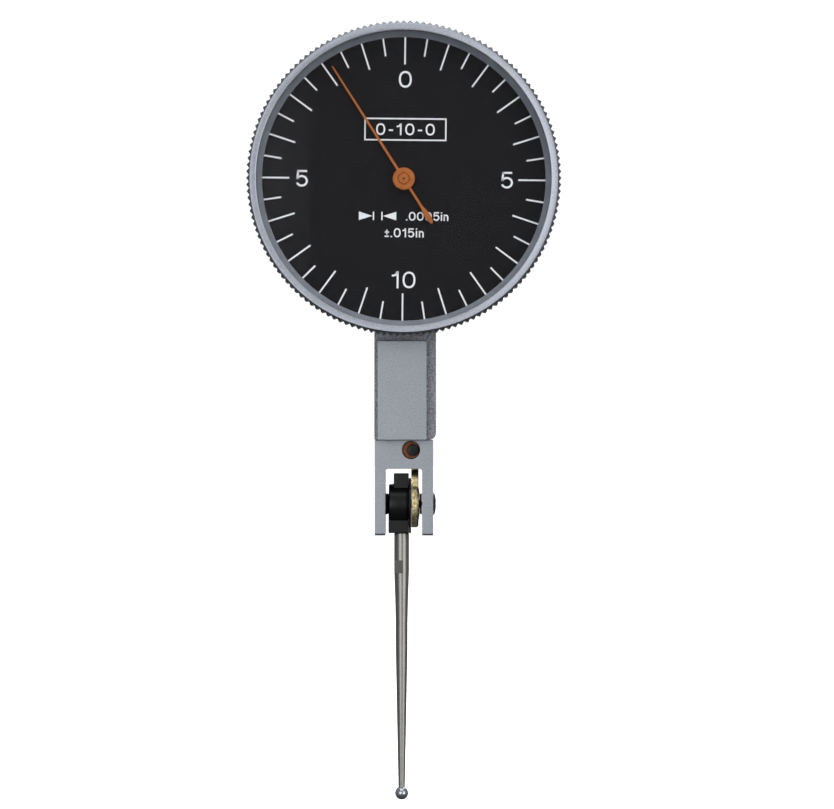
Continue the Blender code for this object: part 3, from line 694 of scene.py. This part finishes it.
def printed(name, strokes, width):
    """Prints strokes on the dial: ribbons of even width along paths from the dial's centre."""
    curve = bpy.data.curves.new(name, "CURVE")
    curve.dimensions = "3D"
    curve.twist_mode = "Z_UP"
    curve.extrude = width / 2 * MM
    for path in strokes:
        closed = math.dist(path[0], path[-1]) < 1e-6
        path = path[:-1] if closed else path
        spline = curve.splines.new("POLY")
        spline.points.add(len(path) - 1)
        spline.use_cyclic_u = closed
        for point, (u, v) in zip(spline.points, path):
            point.co = (u * MM, v * MM, 0, 1)
            point.tilt = math.pi / 2
    obj = bpy.data.objects.new(name, curve)
    bpy.context.scene.collection.objects.link(obj)
    alone(obj)
    bpy.ops.object.convert(target="MESH")
    on_dial(obj)
    applied(obj, "SOLIDIFY", thickness=INK * MM, offset=0)
    fitted(obj, "bezel", "dial_black", finish="dial_ink")


def on_dial(obj):
    """Moves a flat shape from the XY plane onto the dial's face, upright for the reader."""
    upright = Matrix.Rotation(math.pi / 2, 4, "X")
    turn = Matrix.Rotation(DIAL_TURN, 4, "Y")
    place = Matrix.Translation(Vector((0, DIAL_FACE - INK / 2 - 0.001, DIAL_Z)) * MM)
    obj.data.transform(place @ turn @ upright)


def dial_printing():
    """The graduations, the numerals, the framed range, the unit marks and two arrows."""
    marks = []
    for i in range(DIVISIONS):
        a = math.radians(360 / DIVISIONS * i)
        inner = 14.14 if i % 2 == 0 else 15.31
        marks.append([(r * math.sin(a), r * math.cos(a)) for r in (17.5, inner)])
    printed("dial_graduations", marks, 0.2)
    numerals = (figures("0", (0.06, 12.3), 2.1, 0.2) + figures("5", (-12.6, -0.05), 2.1, 0.2)
                + figures("5", (12.72, -0.02), 2.1, 0.2) + figures("10", (0.1, -12.46), 2.1, 0.2))
    printed("dial_numerals", numerals, 0.245)
    u, v, wide, tall = 0.14, 6.12, 9.98, 2.63
    corner = 0.09     # the upright lines run on by half a line's width, to close the corners
    frame_lines = [[(u - wide / 2, v + s * tall / 2), (u + wide / 2, v + s * tall / 2)]
                   for s in (1, -1)]
    frame_lines += [[(u + s * wide / 2, v - tall / 2 - corner),
                     (u + s * wide / 2, v + tall / 2 + corner)] for s in (1, -1)]
    printed("dial_range_frame", frame_lines, 0.175)
    printed("dial_range_figures", figures("0-10-0", (u, v), 1.45, 0.30), 0.2)
    unit_line = -4.6
    small = figures(".0005in", (2.94, unit_line), 1.06, 0.18, 0.98)
    small += figures("±.015in", (0.12, -6.65), 1.12, 0.20, 0.95)
    small += [[(-3.7, -4.08), (-3.7, -5.12)], [(-2.65, -4.08), (-2.65, -5.12)]]
    printed("dial_unit_marks", small, 0.17)
    for name, tip, base in (("left", -3.83, -5.5), ("right", -2.52, -0.88)):
        bpy.ops.object.select_all(action="DESELECT")
        bpy.ops.mesh.primitive_circle_add(vertices=3, radius=MM, fill_type="NGON")
        arrow = settled(f"dial_arrow_{name}")
        ends = [(base, 0.53), (base, -0.53), (tip, 0.0)]
        for vertex, (x, y) in zip(arrow.data.vertices, ends):
            vertex.co = Vector((x, y + unit_line, 0)) * MM
        on_dial(arrow)
        applied(arrow, "SOLIDIFY", thickness=INK * MM, offset=0)
        fitted(arrow, "bezel", "dial_black", finish="dial_ink")


# ------------------------------------------------------------------------- pointer
HAND_Y = -5.33                      # the middle of the hand's thickness
HAND_TURN = math.radians(32.45)     # where the hand stands at rest, left of upright


def pointer():
    """A painted hub and a thin tapered hand with a leaf-shaped tail; a black disc in the hub's hole
    is painted shade.
    """
    hub = turned(
        "pointer_painted",
        [(0.25, -5.28), (0.14, -5.28), (0.14, -5.7), (0.17, -5.72), (0.58, -5.72), (0.62, -5.68),
         (0.62, -5.52), (0.70, -5.48), (0.76, -5.6), (1.28, -5.6), (1.36, -5.55), (1.375, -5.48),
         (1.375, -5.02), (1.33, -4.96), (0.7, -4.92), (0.25, -4.92)],
        DIAL_AXIS, steps=64, closed=True)
    hand = pointer_hand()
    cut(hand, turned("hub_hole", [(0, -6), (0.6, -6), (0.6, -4), (0, -4)], DIAL_AXIS, steps=48))
    fused(hub, hand)
    fitted(hub, "pointer_arbor", "pointer_orange", "pointer")
    # painted shade: a black disc fills the hub's hole where the shade deep in it falls
    bore = turned("hub_hole_painted_shade", [(0, -5.6), (0.13, -5.6), (0.13, -5.4), (0, -5.4)],
                  DIAL_AXIS, steps=24)
    fitted(bore, "pointer_arbor", "pointer_orange", finish="blackened_steel")


def pointer_hand():
    """The thin hand: pairs of place along it and half width, from the leaf's end to the tip."""
    half = [(-6.55, 0.05), (-6.35, 0.21), (-6.0, 0.31), (-5.5, 0.37), (-5.0, 0.34), (-4.6, 0.26),
            (-4.2, 0.17), (-2.5, 0.15), (0, 0.17), (8, 0.14), (16.2, 0.10), (16.5, 0.04)]
    bpy.ops.object.select_all(action="DESELECT")
    bpy.ops.mesh.primitive_plane_add(size=MM)
    hand = settled("hand")
    for vertex in hand.data.vertices:
        side = 1 if vertex.co.y > 0 else -1
        start = half[0] if vertex.co.x < 0 else half[1]
        vertex.co = Vector((start[0], side * start[1], 0)) * MM
    for (x0, w0), (x1, w1) in zip(half[1:], half[2:]):
        picked(hand, lambda p: abs(p.x - x0) < 1e-4)
        bpy.ops.mesh.extrude_region_move(TRANSFORM_OT_translate={"value": ((x1 - x0) * MM, 0, 0)})
        bpy.ops.transform.resize(value=(1, w1 / w0, 1), center_override=(x1 * MM, 0, 0))
        bpy.ops.object.mode_set(mode="OBJECT")
    applied(hand, "SOLIDIFY", thickness=0.18 * MM, offset=0)
    eased(hand, 0.03, 2, 50)
    hand.data.transform(Matrix.Translation(Vector((0, HAND_Y, DIAL_Z)) * MM)
                        @ Matrix.Rotation(math.pi / 2, 4, "X")
                        @ Matrix.Rotation(math.pi / 2 + HAND_TURN, 4, "Z"))
    return hand


# ------------------------------------------------------- lever, carrier and contact
SHOULDER = 3.6              # the brass arm's shoulder, above the pivot
LEVER_ARM = 10.35           # the arm's rounded tip, above the pivot
GRIP_HALF, GRIP_END = 1.5, -3.65    # the carrier's block that grips the point
BALL_RADIUS = 0.84


def arm_top(arm):
    """The height of a block's top, in mm."""
    return max(vertex.co.z for vertex in arm.data.vertices) / MM


def contact_lever():
    """The brass lever: a thick disc on the pivot and an arm that reaches up into the neck."""
    disc = turned("contact_lever_brass",
                  [(0.6, 0.91), (2.92, 0.91), (2.98, 0.97), (2.98, 1.6), (2.8, 1.82), (2.2, 1.82),
                   (1.3, 1.96), (0.6, 1.96)], LEVER_AXIS, "X", 96, closed=True)
    arm = block("arm", (0.91, PIVOT_Y - 1.95, PIVOT_Z + 1.8),
                (1.82, PIVOT_Y + 1.95, PIVOT_Z + SHOULDER))
    for rise, width in ((0.7, 0.32), (4.3, 0.7), (1.75, 0.5)):
        picked(arm, lambda p: abs(p.z - arm_top(arm)) < 0.01, "FACE")
        bpy.ops.mesh.extrude_region_move(TRANSFORM_OT_translate={"value": (0, 0, rise * MM)})
        bpy.ops.transform.resize(value=(1, width, 1), center_override=LEVER_AXIS * MM)
        bpy.ops.object.mode_set(mode="OBJECT")
    rounded(arm, lambda p: abs(p.z - PIVOT_Z - SHOULDER) < 0.01 and abs(p.y - PIVOT_Y) > 1.9,
            0.5, 5)
    eased(arm, 0.05)
    tip = turned("tip", [(0, 0.91), (0.3, 0.91), (0.3, 1.82), (0, 1.82)],
                 LEVER_AXIS + Vector((0, 0, LEVER_ARM)), "X", 32)
    fused(disc, arm, tip)
    fitted(disc, "lever", "brass", "contact_lever")


def contact_carrier():
    """The black friction carrier: a domed disc, a tab above it and a block that grips the point."""
    core = turned("contact_carrier_black",
                  [(0.6, -1.92), (2.35, -1.92), (2.52, -1.8), (2.55, -1.6), (2.55, 0.45),
                   (2.48, 0.59), (0.6, 0.59)], LEVER_AXIS, "X", 96, closed=True)
    tab = eased(block("tab", (-1.30, PIVOT_Y - GRIP_HALF, PIVOT_Z + 1.0),
                      (0.59, PIVOT_Y + GRIP_HALF, PIVOT_Z + 3.85)), 0.1, 3)
    grip = eased(block("grip", (-1.96, PIVOT_Y - GRIP_HALF, PIVOT_Z + GRIP_END),
                       (0.59, PIVOT_Y + GRIP_HALF, PIVOT_Z - 1.0)), 0.1, 3)
    fused(core, tab, grip)
    cut(core, turned("bore", [(0, -3), (0.6, -3), (0.6, 2), (0, 2)], LEVER_AXIS, "X", 40),
        turned("stylus_hole", [(0, -5), (0.65, -5), (0.65, -1.1), (0, -1.1)],
               STYLUS_AXIS, "Z", 40))
    fitted(core, "contact", "blackened_steel", "contact_carrier")


def friction_washer():
    """The thin washer between the carrier and the lever, with a tongue down the carrier's block."""
    washer = turned("friction_washer_turned",
                    [(0.6, 0.60), (3.22, 0.60), (3.26, 0.64), (3.26, 0.85), (3.22, 0.89),
                     (0.6, 0.89)], LEVER_AXIS, "X", 96, closed=True)
    fused(washer, eased(block("tongue", (0.60, PIVOT_Y - GRIP_HALF, PIVOT_Z + GRIP_END),
                              (0.89, PIVOT_Y + GRIP_HALF, PIVOT_Z - 1)), 0.04))
    fitted(washer, "contact", "blackened_steel", "friction_washer")


def stylus():
    """The tapered, ground contact point with its two wrench flats."""
    ball = BALL_Z - PIVOT_Z
    profile = [(0, -1.2), (0.6, -1.2), (0.6, -3.69), (0.89, -3.69), (0.935, -3.74), (0.935, -8.4),
               (0.82, -12.16), (0.76, -15.0), (0.755, -18.4), (0.66, -23.5), (0.535, -29.8),
               (0.42, ball + 1.1), (0.42, ball + 0.74), (0, ball + 0.86)]
    point = turned("stylus_ground", profile, STYLUS_AXIS, "Z", 64)
    for degrees in (62, 242):
        flat = block("flat", (0.72, -1.2, -8.72), (1.4, 1.2, -7.1))
        flat.data.transform(Matrix.Translation(STYLUS_AXIS * MM)
                            @ Matrix.Rotation(math.radians(degrees), 4, "Z"))
        cut(point, flat)
    fitted(point, "contact", "contact_steel", "stylus")


def stylus_ball():
    """The lapped ball on the point's end."""
    middle = BALL_Z - PIVOT_Z
    rim = [(BALL_RADIUS * math.cos(math.radians(a)), middle + BALL_RADIUS * math.sin(math.radians(a)))
           for a in range(90, -91, -6)]
    fitted(turned("stylus_ball_lapped", rim, STYLUS_AXIS, "Z", 64),
           "contact", "contact_ball", "stylus_ball")


# -------------------------------------------------------------------------- the works
def carried_nodes():
    """Gives every CAD node its slot's finish; the works inside are shown as packed."""
    slots = {part["node"]: part["material_slot"] for part in frame["record"]["subparts"]}
    for name, obj in frame["nodes"].items():
        obj.data.materials.clear()
        obj.data.materials.append(FINISHES[slots[name]])


carried_nodes()
case_body()
back_cover()
fork()
eccentric_bush()
fork_screws()
pivot_screws()
thrust_washers()
bezel_ring()
crystal()
dial_plate()
dial_printing()
pointer()
contact_lever()
contact_carrier()
friction_washer()
stylus()
stylus_ball()


# ------------------------------------------------------------------------- the studio
def studio():
    """A pale floor, two soft boxes beside the reader, one above and one behind, in a dim room.

    The floor glows and stays out of the metal's reflections, so it reads as even and pale.
    """
    bpy.ops.object.select_all(action="DESELECT")
    bpy.ops.mesh.primitive_plane_add(size=6, location=(0, 0, -60 * MM))
    floor = settled("floor")
    material, _, _ = finish_named("pale_floor", Roughness=0.9, Base_Color=linear("f7f7f7"),
                                  Emission_Color=(1, 1, 1, 1), Emission_Strength=0.85)
    floor.data.materials.append(material)
    floor.visible_diffuse = floor.visible_glossy = False

    # the backdrop is white; the room that lights the metal is dimmer below and to the rear
    world = bpy.data.worlds.new("studio")
    bpy.context.scene.world = world
    world.use_nodes = True
    tree = world.node_tree
    tree.nodes.clear()
    way = add(tree, "ShaderNodeTexCoord")
    parts = add(tree, "ShaderNodeSeparateXYZ", {"Vector": (way, "Generated")})
    height = add(tree, "ShaderNodeMapRange", {"Value": (parts, "Z"), "From Min": -0.8,
                                              "From Max": 0.8, "To Min": 0.2, "To Max": 0.7})
    front = add(tree, "ShaderNodeMapRange", {"Value": (parts, "Y"), "From Min": -1,
                                             "From Max": -0.3, "To Min": 1.15, "To Max": 0.65})
    dim = add(tree, "ShaderNodeMath", {0: (height, "Result"), 1: (front, "Result")},
              operation="MULTIPLY")
    ray = add(tree, "ShaderNodeLightPath")
    seen = add(tree, "ShaderNodeBackground", {"Color": (1, 1, 1, 1), "Strength": 1.1})
    room = add(tree, "ShaderNodeBackground", {"Color": (0.92, 0.96, 1, 1),
                                              "Strength": (dim, "Value")})
    mixed = add(tree, "ShaderNodeMixShader", {"Fac": (ray, "Is Camera Ray")})
    tree.links.new(room.outputs[0], mixed.inputs[1])
    tree.links.new(seen.outputs[0], mixed.inputs[2])
    add(tree, "ShaderNodeOutputWorld", {"Surface": (mixed, "Shader")})

    lamp("soft_box_left", (-230, -580, 20), 420, 1.1)
    lamp("soft_box_right", (460, -480, 30), 480, 1.5)
    lamp("soft_box_top", (0, -160, 650), 600, 2.2)
    lamp("soft_box_back", (60, 430, 420), 500, 3.0)


def lamp(name, place, size, power):
    """A square soft box that faces the object; place and size in mm."""
    data = bpy.data.lights.new(name, "AREA")
    data.size = size * MM
    data.energy = power
    obj = bpy.data.objects.new(name, data)
    bpy.context.scene.collection.objects.link(obj)
    obj.location = Vector(place) * MM
    obj.rotation_euler = (-obj.location).to_track_quat("-Z", "Y").to_euler()


def camera():
    """A long lens, about level with the object's middle and square to the dial."""
    data = bpy.data.cameras.new("camera")
    data.lens = 155.65
    data.clip_end = 20
    obj = bpy.data.objects.new("camera", data)
    bpy.context.scene.collection.objects.link(obj)
    obj.location = Vector((1.63, -450, -1.6)) * MM
    obj.rotation_euler = (math.pi / 2, 0, 0)
    bpy.context.scene.camera = obj


studio()
camera()
bpy.context.scene.view_settings.view_transform = "Standard"
